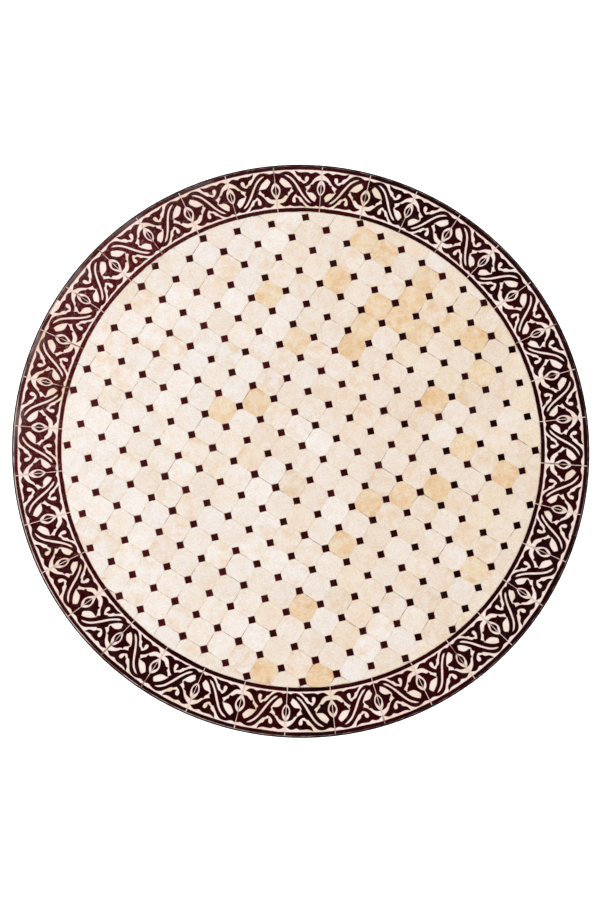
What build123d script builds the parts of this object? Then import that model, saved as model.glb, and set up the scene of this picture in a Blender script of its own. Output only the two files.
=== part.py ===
"""Round mosaic table: a loose tiled top that lies on a folding wrought-iron cross stand.

The origin is on the floor under the middle of the table, with +Z up. Stand frame A has its two
legs along X (east and west), and stand frame B has its two legs along Y (north and south). The
frames turn on one upright rod. All sizes are in millimetres and all angles in degrees.
"""

import os
from math import asin, cos, degrees, radians, sin, sqrt

from build123d import *

# ---- the top ----
TABLE_HEIGHT = 750
TOP_RADIUS = 600
HOOP_HEIGHT = 32
HOOP_WALL = 3
TILE_THICKNESS = 10
BED_THICKNESS = 4
CROSS_BAR = 6                # square reinforcing bars cast into the slab
CROSS_BAR_COVER = 3
CROSS_BAR_SPACING = 200
CROSS_BARS = 5
JOINT = 1.0                  # gap between neighbouring tiles

# ---- the border of carved tiles ----
FRIEZE_TILES = 36
FRIEZE_INNER = 498
FRIEZE_OUTER = 595.5
FRIEZE_START = 86.2          # direction of the first joint, anticlockwise from +X
FRIEZE_DRIFT = 0.33          # the hand-laid joints run early and late by this angle

# ---- the field of octagons and small squares ----
PITCH = 51.5                 # side of the lattice cell
LATTICE_ANGLE = -32.4
SQUARE_SIDE = 14.8
FIELD_RADIUS = 497.5
ROW_BOW = 4                  # the hand-laid rows bow by this much at the field's edge
SMALLEST_TILE = 90           # mm2: smaller cut corners are left to the mortar

# ---- the stand ----
BAR = 16                     # square bar of the legs and arms
WAIST_RADIUS = 75            # leg's centre line from the rod, at the waist
WAIST_STRAIGHT = 40
LEG_BEND = 280
LEG_BEND_TURN = 60
FOOT_FLAT = 24               # straight length where a leg meets its foot or its arm
VOLUTE_RADII = (48, 30)
VOLUTE_TURNS = (180, 120)
SNUB_RADIUS = 11             # the round end of a volute
PAD_THICKNESS = 4
ARM_REACH = 460
ARM_CHAMFER = 8
LAP_REACH = 60               # half length of the thinned middle of an arm
EYE_RADIUS = 22
ROD_RADIUS = 10
RUNNING_PLAY = 0.08          # radial clearance of a part that turns on the rod
WASHER = 2
FOLD_ANGLE = 72
LEG_HEIGHT_BELOW_BAR = 32    # floor to the underside of the leg

# ---- inner scrolls ----
SCROLL_BAR = 12
SCROLL_RADII = (44, 32, 22)
SCROLL_SNUB_RADIUS = 9
SCROLL_TAIL_START = 170.6
COLLAR_ANGLES = (139, 150)
COLLAR_LENGTH = 14
COLLAR_WALL = 3
COLLAR_PLAY = 0.1

# ---- levelling feet ----
STUD_RADIUS = 5
STUD_PLAY = 0.1
STUD_HOLE_RADIUS = 5.3       # the clearance hole through a leg
BUSH_RADIUS = 12
BUSH_HEIGHT = 14
HEX_ACROSS_FLATS = 17
GLIDE_RADIUS = 22
GLIDE_HEIGHT = 10

# ---- heights worked out from the sizes above ----
TOP_BOTTOM = TABLE_HEIGHT - HOOP_HEIGHT
TILE_BOTTOM = TABLE_HEIGHT - TILE_THICKNESS
BED_BOTTOM = TILE_BOTTOM - BED_THICKNESS
LOWER_BARS_Z = TOP_BOTTOM + CROSS_BAR_COVER
HOOP_INNER = TOP_RADIUS - HOOP_WALL
ARM_TOP = TOP_BOTTOM - PAD_THICKNESS
ARM_BOTTOM = ARM_TOP - BAR
LEG_HALF = (ARM_BOTTOM - LEG_HEIGHT_BELOW_BAR - BAR) / 2
WAIST_HEIGHT = LEG_HEIGHT_BELOW_BAR + BAR / 2 + LEG_HALF
LEG_SWELL = (LEG_HALF - WAIST_STRAIGHT - LEG_BEND * sin(radians(LEG_BEND_TURN))) / (
    1 - cos(radians(90 - LEG_BEND_TURN))
)
BEND_CENTRE = (WAIST_RADIUS + LEG_BEND, WAIST_HEIGHT + WAIST_STRAIGHT)
LEG_REACH = BEND_CENTRE[0] - LEG_BEND * cos(radians(LEG_BEND_TURN)) + LEG_SWELL / 2
FOOT_RADIUS = LEG_REACH + FOOT_FLAT / 2
FRAME_A = {"east": 0, "west": 180}
FRAME_B = {"north": 90, "south": 270}


def save(part, label):
    """Label a finished piece and write its STEP file."""
    part.label = label
    export_step(part, f"parts/{label}.step")
    print(f"{label}: {len(part.solids())} solids")


def radial_plane(turn, height=0):
    """The upright plane through the rod: its X runs outward at the turn, its Y runs up."""
    outward = (cos(radians(turn)), sin(radians(turn)), 0)
    across = (sin(radians(turn)), -cos(radians(turn)), 0)
    return Plane(origin=(0, 0, height), x_dir=outward, z_dir=across)


def at_turn(radius, turn, height):
    """The point at a radius and height in the upright plane at the turn."""
    return (radius * cos(radians(turn)), radius * sin(radians(turn)), height)


os.makedirs("parts", exist_ok=True)

# ======================= the top =======================


def frieze_joint(index):
    """Direction of a border joint, which counts clockwise seen from above."""
    clockwise = 360 / FRIEZE_TILES * index
    return FRIEZE_START - clockwise - FRIEZE_DRIFT * cos(radians(clockwise))


def lattice_point(i, j):
    """Where lattice corner (i, j) lies once the rows have bowed."""
    corner = Vector(PITCH * i, PITCH * j).rotate(Axis.Z, LATTICE_ANGLE)
    across, along = corner.X / FIELD_RADIUS, corner.Y / FIELD_RADIUS
    return corner + Vector(ROW_BOW * along * (across + along), -ROW_BOW * across * (across + along / 2))


def cells():
    """Lattice cells that reach the field, as their lowest corner's indices."""
    span = int(FIELD_RADIUS / PITCH) + 2
    for i in range(-span, span + 1):
        for j in range(-span, span + 1):
            if lattice_point(i, j).length < FIELD_RADIUS + 1.5 * PITCH:
                yield i, j


def shrunk(corners, gap):
    """Corners moved towards their middle, so that each side moves in by the gap."""
    middle = sum(corners, Vector()) / len(corners)
    inner = (corners[0] + corners[1]) / 2 - middle
    scale = 1 - gap / inner.length
    return [middle + (corner - middle) * scale for corner in corners]


def octagon(i, j, gap):
    """The octagon of a cell, whose corners are cut off by the small squares."""
    ring = [lattice_point(*corner) for corner in ((i, j), (i + 1, j), (i + 1, j + 1), (i, j + 1))]
    reach = SQUARE_SIDE / sqrt(2)
    corners = []
    for index, corner in enumerate(ring):
        before, after = ring[index - 1], ring[(index + 1) % 4]
        corners.append(corner + (before - corner).normalized() * reach)
        corners.append(corner + (after - corner).normalized() * reach)
    return Polygon(*shrunk(corners, gap), align=None, mode=Mode.PRIVATE)


def small_square(i, j, gap):
    """The small square on a lattice corner, with its own corners on the lattice lines."""
    here = lattice_point(i, j)
    reach = SQUARE_SIDE / sqrt(2)
    neighbours = [lattice_point(*corner) for corner in ((i + 1, j), (i, j + 1), (i - 1, j), (i, j - 1))]
    corners = [here + (other - here).normalized() * reach for other in neighbours]
    return Polygon(*shrunk(corners, gap), align=None, mode=Mode.PRIVATE)


def field_faces(shape, gap):
    """All octagons or small squares, cut off at the edge of the field."""
    with BuildSketch(Plane.XY) as faces:
        add([shape(i, j, gap) for i, j in cells()])
        Circle(FIELD_RADIUS - gap, mode=Mode.INTERSECT)
    return [face for face in faces.faces() if face.area > SMALLEST_TILE]


def frieze_faces(gap):
    """The wedge of each border tile."""
    wedges = []
    for index in range(FRIEZE_TILES):
        left, right = frieze_joint(index), frieze_joint(index + 1)
        inner, outer = FRIEZE_INNER + gap, FRIEZE_OUTER - gap
        inner_gap, outer_gap = degrees(gap / inner), degrees(gap / outer)
        with BuildSketch(Plane.XY) as wedge:
            with BuildLine():
                low = CenterArc((0, 0), inner, right + inner_gap, left - right - 2 * inner_gap)
                high = CenterArc((0, 0), outer, right + outer_gap, left - right - 2 * outer_gap)
                Line(low @ 0, high @ 0)
                Line(low @ 1, high @ 1)
            make_face()
        wedges.append(wedge.face())
    return wedges


def tile_node(faces, label):
    """Extrude tile outlines to tiles, from the bed to the table's face."""
    with BuildPart() as tiles:
        with BuildSketch(Plane.XY.offset(TILE_BOTTOM)):
            add(faces)
        extrude(amount=TILE_THICKNESS)
    save(tiles.part, label)


tile_node(frieze_faces(JOINT / 2), "frieze_tiles")
tile_node(field_faces(octagon, JOINT / 2), "octagon_tiles")
tile_node(field_faces(small_square, JOINT / 2), "cabochon_tiles")

with BuildPart() as mortar_bed:
    with BuildSketch(Plane.XY.offset(BED_BOTTOM)):
        Circle(HOOP_INNER)
    extrude(amount=BED_THICKNESS)
save(mortar_bed.part, "mortar_bed")


def cross_bars(length_x, length_y, steps, height, label):
    """One layer of square bars that reach the hoop's inside."""
    with BuildPart() as bars:
        with BuildSketch(Plane.XY.offset(height)):
            with Locations(steps):
                Rectangle(length_x, length_y)
            Circle(HOOP_INNER, mode=Mode.INTERSECT)
        extrude(amount=CROSS_BAR)
    save(bars.part, label)
    return bars.part


bar_steps = [CROSS_BAR_SPACING * (n - (CROSS_BARS - 1) / 2) for n in range(CROSS_BARS)]
lower_bars = cross_bars(
    2 * TOP_RADIUS, CROSS_BAR, [(0, step) for step in bar_steps], LOWER_BARS_Z, "cross_bars_lower"
)
upper_bars = cross_bars(
    CROSS_BAR, 2 * TOP_RADIUS, [(step, 0) for step in bar_steps], LOWER_BARS_Z + CROSS_BAR, "cross_bars_upper"
)

with BuildPart() as cement_slab:
    with BuildSketch(Plane.XY.offset(TOP_BOTTOM)):
        Circle(HOOP_INNER)
    extrude(amount=BED_BOTTOM - TOP_BOTTOM)
    add(lower_bars, mode=Mode.SUBTRACT)
    add(upper_bars, mode=Mode.SUBTRACT)
save(cement_slab.part, "cement_slab")

with BuildPart() as rim_hoop:
    with BuildSketch(Plane.XY.offset(TOP_BOTTOM)):
        Circle(TOP_RADIUS)
        Circle(HOOP_INNER, mode=Mode.SUBTRACT)
    extrude(amount=HOOP_HEIGHT)
save(rim_hoop.part, "rim_hoop")

# ======================= the legs and their scrolls =======================


def make_leg(turn):
    """A C-shaped leg: one square bar, straight at the waist, with a volute at each end."""
    with BuildPart() as leg:
        with BuildSketch(radial_plane(turn, WAIST_HEIGHT)):
            with BuildLine():
                waist = Line((WAIST_RADIUS, 0), (WAIST_RADIUS, -WAIST_STRAIGHT))
                bend = JernArc(waist @ 1, (0, -1), LEG_BEND, LEG_BEND_TURN)
                swell = JernArc(bend @ 1, bend % 1, LEG_SWELL, 90 - LEG_BEND_TURN)
                flat = Line(swell @ 1, swell @ 1 + Vector(FOOT_FLAT, 0))
                coil = JernArc(flat @ 1, flat % 1, VOLUTE_RADII[0], VOLUTE_TURNS[0])
                core = JernArc(coil @ 1, coil % 1, VOLUTE_RADII[1], VOLUTE_TURNS[1])
                mirror(about=Plane.XZ)
            trace(line_width=BAR)
            with Locations(core @ 1, ((core @ 1).X, -(core @ 1).Y)):
                Circle(SNUB_RADIUS)
        extrude(amount=BAR / 2, both=True)
        with Locations(at_turn(FOOT_RADIUS, turn, LEG_HEIGHT_BELOW_BAR + BAR / 2)):
            Cylinder(STUD_HOLE_RADIUS, 2 * BAR, mode=Mode.SUBTRACT)
    return leg.part


def make_scroll(turn):
    """An inner scroll: its tail lies along the leg and its volute touches the arm."""
    tail_radius = LEG_BEND + BAR / 2 + SCROLL_BAR / 2
    rise = ARM_BOTTOM - SCROLL_BAR / 2 - SCROLL_RADII[0] - BEND_CENTRE[1]
    tail_end = 180 - degrees(asin(rise / (tail_radius + SCROLL_RADII[0])))
    with BuildPart() as scroll:
        with BuildSketch(radial_plane(turn)):
            with BuildLine():
                tail = CenterArc(BEND_CENTRE, tail_radius, SCROLL_TAIL_START, tail_end - SCROLL_TAIL_START)
                outer = JernArc(tail @ 1, tail % 1, SCROLL_RADII[0], tail_end + 90)
                middle = JernArc(outer @ 1, outer % 1, SCROLL_RADII[1], 180)
                inner = JernArc(middle @ 1, middle % 1, SCROLL_RADII[2], 120)
            trace(line_width=SCROLL_BAR)
            with Locations(inner @ 1):
                Circle(SCROLL_SNUB_RADIUS)
        extrude(amount=SCROLL_BAR / 2, both=True)
    return scroll.part


def ring_sector(inner, outer, middle_angle, length):
    """A piece of ring about the leg's upper bend, as a sketch in the radial plane."""
    half = degrees(length / 2 / LEG_BEND)
    with BuildSketch(Plane.XY) as sector:
        with BuildLine():
            low = CenterArc(BEND_CENTRE, inner, middle_angle - half, 2 * half)
            high = CenterArc(BEND_CENTRE, outer, middle_angle - half, 2 * half)
            Line(low @ 0, high @ 0)
            Line(low @ 1, high @ 1)
        make_face()
    return sector.sketch


def make_collars(turns):
    """Forged collars that bind the scrolls to the legs."""
    inner = LEG_BEND - BAR / 2 - COLLAR_PLAY
    outer = LEG_BEND + BAR / 2 + SCROLL_BAR + COLLAR_PLAY
    with BuildPart() as collars:
        for turn in turns:
            for angle in COLLAR_ANGLES:
                with BuildSketch(radial_plane(turn)):
                    add(ring_sector(inner - COLLAR_WALL, outer + COLLAR_WALL, angle, COLLAR_LENGTH))
                extrude(amount=BAR / 2 + COLLAR_WALL, both=True)
                with BuildSketch(radial_plane(turn)):
                    add(ring_sector(inner, outer, angle, 2 * COLLAR_LENGTH))
                extrude(amount=BAR / 2 + COLLAR_PLAY, both=True, mode=Mode.SUBTRACT)
    return collars.part


legs = {}
for name, turn in (FRAME_A | FRAME_B).items():
    legs[name] = make_leg(turn)
    save(legs[name], f"leg_{name}")
    save(make_scroll(turn), f"scroll_{name}")

save(make_collars(FRAME_A.values()), "collars_a")
save(make_collars(FRAME_B.values()), "collars_b")

# ======================= the parts on the rod =======================


def make_arm(turn, eye_bottom, eye_top, bore):
    """A straight arm under the top, thinned to a lap at the middle, with an eye for the rod."""
    with BuildPart() as arm:
        with BuildSketch(radial_plane(turn)):
            with BuildLine():
                Polyline(
                    (0, ARM_TOP),
                    (ARM_REACH, ARM_TOP),
                    (ARM_REACH, ARM_BOTTOM + ARM_CHAMFER),
                    (ARM_REACH - ARM_CHAMFER, ARM_BOTTOM),
                    (0, ARM_BOTTOM),
                )
                mirror(about=Plane.YZ)
            make_face()
            with Locations((0, (ARM_TOP + eye_top) / 2)):
                if eye_top < ARM_TOP:
                    Rectangle(2 * LAP_REACH, ARM_TOP - eye_top, mode=Mode.SUBTRACT)
            with Locations((0, (ARM_BOTTOM + eye_bottom) / 2)):
                if eye_bottom > ARM_BOTTOM:
                    Rectangle(2 * LAP_REACH, eye_bottom - ARM_BOTTOM, mode=Mode.SUBTRACT)
        extrude(amount=BAR / 2, both=True)
        with BuildSketch(Plane.XY.offset(eye_bottom)):
            Circle(EYE_RADIUS)
        extrude(amount=eye_top - eye_bottom)
        with BuildSketch(Plane.XY.offset(ARM_BOTTOM)):
            Circle(bore)
        extrude(amount=BAR, mode=Mode.SUBTRACT)
    return arm.part


TURNING_BORE = ROD_RADIUS + RUNNING_PLAY
EYE_A_BOTTOM = ARM_BOTTOM + BAR / 2
EYE_B_TOP = EYE_A_BOTTOM - WASHER
save(make_arm(FRAME_A["east"], EYE_A_BOTTOM, ARM_TOP, ROD_RADIUS), "top_arm_a")
save(make_arm(FRAME_B["north"], ARM_BOTTOM, EYE_B_TOP, TURNING_BORE), "top_arm_b")

HUB_RADIUS = 16
HUB_SPIGOT = 14
HUB_A_RISE = 4               # from the waist's middle to the underside of hub A
HUB_A_BOTTOM = WAIST_HEIGHT + HUB_A_RISE
HUB_A_HEIGHT = 30
HUB_B_HEIGHT = 34
HUB_B_TOP = HUB_A_BOTTOM - WASHER
HUB_B_BOTTOM = HUB_B_TOP - HUB_B_HEIGHT
SPIGOT_INSET = 8             # from a hub's lower end to its spigots
STOP_RADIUS = 24
STOP_PLAY = 0.3
STOP_ROOT = 6                # height over which the stop joins its hub
STOP_BITE = 2                # depth by which the stop's root runs into its hub
STOP_LIFT = 2                # from hub B's underside to the stop's


def make_hub(bottom, height, turn, bore):
    """A tube on the rod with two square spigots that reach the legs."""
    with BuildPart() as hub:
        with BuildSketch(Plane.XY.offset(bottom)):
            Circle(HUB_RADIUS)
        extrude(amount=height)
        with BuildSketch(Plane.XY.offset(bottom + SPIGOT_INSET)):
            with Locations(Rotation(0, 0, turn)):
                Rectangle(2 * (WAIST_RADIUS - BAR / 2), HUB_SPIGOT)
        extrude(amount=HUB_SPIGOT)
        with BuildSketch(Plane.XY.offset(bottom)):
            Circle(bore)
        extrude(amount=height, mode=Mode.SUBTRACT)
    return hub.part


def stop_outline(inner):
    """The stop's section: the part of a ring that frame B's spigots reach at both limits."""
    side = HUB_SPIGOT / 2 + STOP_PLAY
    folded = 90 + FOLD_ANGLE - 180
    far = 3 * STOP_RADIUS
    apex = (side, (side + side * sin(radians(folded))) / cos(radians(folded)))
    reach = (far, (side + far * sin(radians(folded))) / cos(radians(folded)))
    with BuildSketch(Plane.XY) as outline:
        Circle(STOP_RADIUS)
        Circle(inner, mode=Mode.SUBTRACT)
        with BuildLine():
            Polyline(apex, (side, far), (far, far), reach, close=True)
        make_face(mode=Mode.INTERSECT)
    return outline.sketch


STOP_BOTTOM = HUB_B_BOTTOM + STOP_LIFT
hub_a = make_hub(HUB_A_BOTTOM, HUB_A_HEIGHT, FRAME_A["east"], ROD_RADIUS)
with BuildPart() as waist_hub_a:
    add(hub_a)
    with BuildSketch(Plane.XY.offset(STOP_BOTTOM)):
        add(stop_outline(HUB_RADIUS + STOP_PLAY))
    extrude(amount=HUB_A_BOTTOM + STOP_ROOT - STOP_BOTTOM)
    with BuildSketch(Plane.XY.offset(HUB_A_BOTTOM)):
        add(stop_outline(HUB_RADIUS - STOP_BITE))
    extrude(amount=STOP_ROOT)
save(waist_hub_a.part, "waist_hub_a")

hub_b = make_hub(HUB_B_BOTTOM, HUB_B_HEIGHT, FRAME_B["north"], TURNING_BORE)
save(hub_b, "waist_hub_b")

STRETCHER_BAR = 14
STRETCHER_A_BOTTOM = 143
STRETCHER_B_BOTTOM = STRETCHER_A_BOTTOM + STRETCHER_BAR + WASHER
STRETCHER_EYE = 18


def make_stretcher(turns, bottom, bore):
    """A bar between a frame's two legs, with an eye for the rod."""
    with BuildPart() as stretcher:
        with BuildSketch(Plane.XY.offset(bottom)):
            with Locations(Rotation(0, 0, list(turns.values())[0])):
                Rectangle(2 * stretcher_reach(bottom), STRETCHER_BAR)
            Circle(STRETCHER_EYE)
            Circle(bore, mode=Mode.SUBTRACT)
        extrude(amount=STRETCHER_BAR)
        for name in turns:
            add(legs[name], mode=Mode.SUBTRACT)
    return stretcher.part


def stretcher_reach(bottom):
    """Distance from the rod to a leg's centre line, at the height of a stretcher's middle."""
    drop = WAIST_HEIGHT - WAIST_STRAIGHT - bottom - STRETCHER_BAR / 2
    return WAIST_RADIUS + LEG_BEND - sqrt(LEG_BEND**2 - drop**2)


save(make_stretcher(FRAME_A, STRETCHER_A_BOTTOM, ROD_RADIUS), "stretcher_a")
save(make_stretcher(FRAME_B, STRETCHER_B_BOTTOM, TURNING_BORE), "stretcher_b")

ROD_BOTTOM = 118
ROD_HEAD_RADIUS = 15
ROD_HEAD = 3
ROD_HEAD_CHAMFER = 2
with BuildPart() as pivot_rod:
    with BuildSketch(Plane.XY.offset(ROD_BOTTOM)):
        Circle(ROD_RADIUS)
    extrude(amount=ARM_TOP - ROD_BOTTOM)
    with BuildSketch(Plane.XY.offset(ARM_TOP)):
        Circle(ROD_HEAD_RADIUS)
    extrude(amount=ROD_HEAD)
    chamfer(pivot_rod.edges().filter_by(GeomType.CIRCLE).sort_by(Axis.Z)[-1], ROD_HEAD_CHAMFER)
save(pivot_rod.part, "pivot_rod")

ARM_WASHER_RADIUS = 20
HUB_WASHER_RADIUS = 15
WASHERS = {
    EYE_B_TOP: ARM_WASHER_RADIUS,
    HUB_B_TOP: HUB_WASHER_RADIUS,
    STRETCHER_A_BOTTOM + STRETCHER_BAR: HUB_WASHER_RADIUS,
}
with BuildPart() as washers:
    for bottom, washer_radius in WASHERS.items():
        with BuildSketch(Plane.XY.offset(bottom)):
            Circle(washer_radius)
            Circle(TURNING_BORE, mode=Mode.SUBTRACT)
        extrude(amount=WASHER)
save(washers.part, "washers")

RING_HEIGHT = 9
RING_RADIUS = 17
RING_PLAY = 0.3
RING_ROUNDING = 2.5
with BuildPart() as rod_rings:
    for top in (ARM_BOTTOM - RING_PLAY, HUB_B_BOTTOM - RING_PLAY):
        with BuildSketch(Plane.XY.offset(top - RING_HEIGHT)):
            Circle(RING_RADIUS)
            Circle(ROD_RADIUS, mode=Mode.SUBTRACT)
        extrude(amount=RING_HEIGHT)
    outer_rims = rod_rings.edges().filter_by(GeomType.CIRCLE).filter_by(lambda rim: rim.radius == RING_RADIUS)
    fillet(outer_rims, RING_ROUNDING)
save(rod_rings.part, "rod_rings")

FINIAL_BALL = 17
FINIAL_BALL_DROP = 1         # from the rod's end to the ball's middle
FINIAL_NECK = 13
FINIAL_TIP = 4               # radius and height of the point under the ball
FINIAL_COLLAR = 3
FINIAL_COLLAR_SLOPE = 2
with BuildPart() as finial:
    with BuildSketch(Plane.XZ):
        with BuildLine():
            ball_z = ROD_BOTTOM - FINIAL_BALL_DROP
            collar_z = STRETCHER_A_BOTTOM - FINIAL_COLLAR
            tip_root = (FINIAL_TIP, ball_z - sqrt(FINIAL_BALL**2 - FINIAL_TIP**2))
            neck_root = (FINIAL_NECK, ball_z + sqrt(FINIAL_BALL**2 - FINIAL_NECK**2))
            ThreePointArc(tip_root, (FINIAL_BALL, ball_z), neck_root)
            Polyline(
                neck_root,
                (FINIAL_NECK, collar_z - FINIAL_COLLAR_SLOPE),
                (HUB_RADIUS, collar_z),
                (HUB_RADIUS, STRETCHER_A_BOTTOM),
                (ROD_RADIUS, STRETCHER_A_BOTTOM),
                (ROD_RADIUS, ROD_BOTTOM),
                (0, ROD_BOTTOM),
                (0, ball_z - FINIAL_BALL - FINIAL_TIP),
                tip_root,
            )
        make_face()
    revolve(axis=Axis.Z)
save(finial.part, "finial")

# ======================= pads, bushes and levelling feet =======================

PAD_LENGTH = 60
PAD_WIDTH = 14


def make_pads(turns):
    """Rubber pads on the ends of an arm, which the top lies on."""
    with BuildPart() as pads:
        for turn in turns:
            with BuildSketch(Plane.XY.offset(ARM_TOP)):
                with Locations(Location(at_turn(FOOT_RADIUS, turn, 0), (0, 0, turn))):
                    SlotOverall(PAD_LENGTH, PAD_WIDTH)
            extrude(amount=PAD_THICKNESS)
    return pads.part


def make_bushes(turns):
    """Threaded bushes welded under the legs."""
    with BuildPart() as bushes:
        for turn in turns:
            with BuildSketch(Plane.XY.offset(LEG_HEIGHT_BELOW_BAR - BUSH_HEIGHT)):
                with Locations(at_turn(FOOT_RADIUS, turn, 0)):
                    Circle(BUSH_RADIUS)
                    Circle(STUD_RADIUS + STUD_PLAY, mode=Mode.SUBTRACT)
            extrude(amount=BUSH_HEIGHT)
    return bushes.part


save(make_pads(FRAME_A.values()), "top_pads_a")
save(make_pads(FRAME_B.values()), "top_pads_b")
save(make_bushes(FRAME_A.values()), "foot_bushes_a")
save(make_bushes(FRAME_B.values()), "foot_bushes_b")

BUSH_BOTTOM = LEG_HEIGHT_BELOW_BAR - BUSH_HEIGHT
HEX_PLAY = 0.3
HEX_TOP = BUSH_BOTTOM - HEX_PLAY
SOCKET_DEPTH = 6
SOCKET_RADIUS = 7
STUD_TOP_DEPTH = 2           # from the leg's upper face down to the stud's end
STUD_TOP = LEG_HEIGHT_BELOW_BAR + BAR - STUD_TOP_DEPTH
STUD_CHAMFER = 1
GLIDE_CHAMFER = 2


def make_stud(turn):
    """A levelling stud: a threaded shank, a hexagon for a spanner and a foot in the glide."""
    with BuildPart() as stud:
        with BuildSketch(Plane.XY.offset(GLIDE_HEIGHT - SOCKET_DEPTH)):
            with Locations(at_turn(FOOT_RADIUS, turn, 0)):
                Circle(SOCKET_RADIUS)
        extrude(amount=SOCKET_DEPTH)
        with BuildSketch(Plane.XY.offset(GLIDE_HEIGHT)):
            with Locations(at_turn(FOOT_RADIUS, turn, 0)):
                RegularPolygon(HEX_ACROSS_FLATS / 2, 6, major_radius=False)
        extrude(amount=HEX_TOP - GLIDE_HEIGHT)
        with BuildSketch(Plane.XY.offset(HEX_TOP)):
            with Locations(at_turn(FOOT_RADIUS, turn, 0)):
                Circle(STUD_RADIUS)
        extrude(amount=STUD_TOP - HEX_TOP)
        chamfer(stud.edges().filter_by(GeomType.CIRCLE).sort_by(Axis.Z)[-1], STUD_CHAMFER)
    return stud.part


def make_glide(turn):
    """The round glide that stands on the floor and carries the stud in its socket."""
    with BuildPart() as glide:
        with BuildSketch(Plane.XY):
            with Locations(at_turn(FOOT_RADIUS, turn, 0)):
                Circle(GLIDE_RADIUS)
        extrude(amount=GLIDE_HEIGHT)
        chamfer(glide.edges().filter_by(GeomType.CIRCLE).sort_by(Axis.Z)[-1], GLIDE_CHAMFER)
        with BuildSketch(Plane.XY.offset(GLIDE_HEIGHT - SOCKET_DEPTH)):
            with Locations(at_turn(FOOT_RADIUS, turn, 0)):
                Circle(SOCKET_RADIUS + STUD_PLAY)
        extrude(amount=SOCKET_DEPTH, mode=Mode.SUBTRACT)
    return glide.part


for name, turn in (FRAME_A | FRAME_B).items():
    save(make_stud(turn), f"foot_stud_{name}")
    save(make_glide(turn), f"foot_glide_{name}")

print(f"foot radius {FOOT_RADIUS:.2f}, leg swell {LEG_SWELL:.2f}")
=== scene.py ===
"""Blender scene of a round mosaic table on a folding wrought-iron stand.

All lengths are in metres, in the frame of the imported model: the origin is on the floor under the
middle of the table and +Z is up. Angles are in degrees, anticlockwise seen from above.
"""

import math
import random

import bmesh
import bpy
from mathutils import Matrix, Vector, noise
from mathutils.geometry import tessellate_polygon


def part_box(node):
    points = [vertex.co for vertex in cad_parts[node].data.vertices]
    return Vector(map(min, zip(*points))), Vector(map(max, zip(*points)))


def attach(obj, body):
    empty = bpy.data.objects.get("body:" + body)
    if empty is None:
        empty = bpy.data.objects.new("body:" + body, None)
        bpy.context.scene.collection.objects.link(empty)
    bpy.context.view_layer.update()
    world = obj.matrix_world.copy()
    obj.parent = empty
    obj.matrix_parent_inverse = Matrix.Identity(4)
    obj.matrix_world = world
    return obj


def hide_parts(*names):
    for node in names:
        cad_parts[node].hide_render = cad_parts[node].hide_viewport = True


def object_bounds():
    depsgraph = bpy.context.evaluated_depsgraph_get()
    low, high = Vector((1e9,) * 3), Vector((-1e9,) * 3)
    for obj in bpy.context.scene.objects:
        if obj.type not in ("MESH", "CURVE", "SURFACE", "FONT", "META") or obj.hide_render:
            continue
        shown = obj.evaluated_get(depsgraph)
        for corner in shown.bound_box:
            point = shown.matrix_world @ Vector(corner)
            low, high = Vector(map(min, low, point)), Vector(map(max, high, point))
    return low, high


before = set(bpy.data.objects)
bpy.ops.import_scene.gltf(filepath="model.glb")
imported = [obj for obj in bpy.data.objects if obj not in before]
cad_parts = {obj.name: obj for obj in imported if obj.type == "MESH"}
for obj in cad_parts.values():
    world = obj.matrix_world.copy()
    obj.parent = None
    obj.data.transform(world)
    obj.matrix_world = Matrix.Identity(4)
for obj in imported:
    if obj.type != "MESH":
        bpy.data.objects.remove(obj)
cad_low, cad_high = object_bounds()
MM = 0.001

# ---- sizes read from the frame ----
TABLE_TOP = cad_high.z
TABLE_RADIUS = cad_high.x
TILE_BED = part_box("octagon_tiles")[0].z
MORTAR_LOW, MORTAR_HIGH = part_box("mortar_bed")

# ---- the border's layout ----
FRIEZE_TILES = 36
CLAY_MARGIN = 0.5 * MM  # by which the clay stops short of the border's two edges
FRIEZE_INNER = 498 * MM
FRIEZE_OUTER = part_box("frieze_tiles")[1].y + CLAY_MARGIN
FRIEZE_START = 86.2  # direction of the first joint
FRIEZE_DRIFT = 0.33  # the hand-laid joints run early and late by this angle
FRIEZE_JOINT = 1.1 * MM
GROUND_DEPTH = 0.8 * MM  # how far the carved ground lies under the glaze

# ---- the field's layout ----
PITCH = 51.5 * MM  # side of the lattice cell
LATTICE_ANGLE = -32.4
SQUARE_SIDE = 14.8 * MM
FIELD_RADIUS = 497.5 * MM
ROW_BOW = 4 * MM  # the hand-laid rows bow by this much at the field's edge
FIELD_JOINT = 0.6 * MM
SMALLEST_TILE = 40 * MM**2  # smaller offcuts are left to the mortar

# ---- the camera ----
CAMERA_DISTANCE = 4.0
CAMERA_TILT = 7.5  # from straight above
CAMERA_SIDE = -106  # direction in which it leans
CAMERA_AIM = (-4.7 * MM, -10.7 * MM)
VIEW_HEIGHT = 902
RADIUS_IN_VIEW = 289.2  # how much of VIEW_HEIGHT the table's radius takes up
SENSOR = 36.0

scene = bpy.context.scene
scene.view_settings.view_transform = "Standard"


# ======== camera and stage ========


def add_object(name, data, location, rotation):
    thing = bpy.data.objects.new(name, data)
    scene.collection.objects.link(thing)
    thing.location = location
    thing.rotation_mode = "QUATERNION"
    thing.rotation_quaternion = rotation
    return thing


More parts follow.
